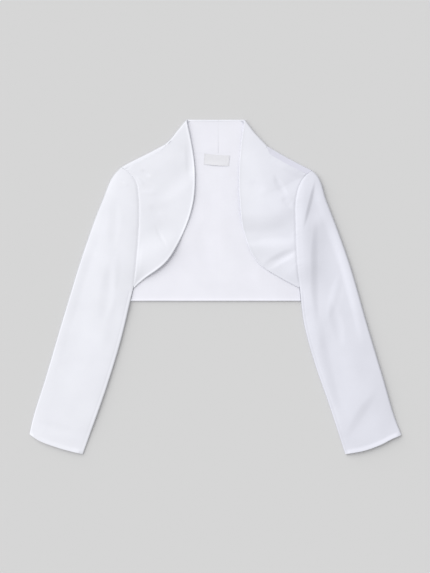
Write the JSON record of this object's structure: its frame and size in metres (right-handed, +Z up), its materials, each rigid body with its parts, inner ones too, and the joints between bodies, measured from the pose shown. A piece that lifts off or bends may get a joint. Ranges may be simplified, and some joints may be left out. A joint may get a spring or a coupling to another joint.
{
  "type": "bolero jacket",
  "caption": "Cropped long-sleeved satin bolero jacket laid flat, open fronts curving away, with a grown-on stand collar.",
  "frame": {"origin": "middle of the outline, on the surface that the jacket lies on", "axes": "+X from one sleeve to the other, +Y towards the collar, +Z up out of the fronts"},
  "size_m": [0.6965, 0.6265, 0.0112],
  "materials": {
    "satin": "white duchess satin, soft sheen",
    "lining": "white satin lining",
    "label": "woven ribbon label, blank"
  },
  "bodies": {
    "root": {"back": "satin", "front_left": "satin", "front_right": "satin", "sleeve_left": "satin", "sleeve_right": "satin", "back_lining": "lining", "collar_facing_left": "satin", "collar_facing_right": "satin", "neck_label": "label"}
  },
  "joints": []
}
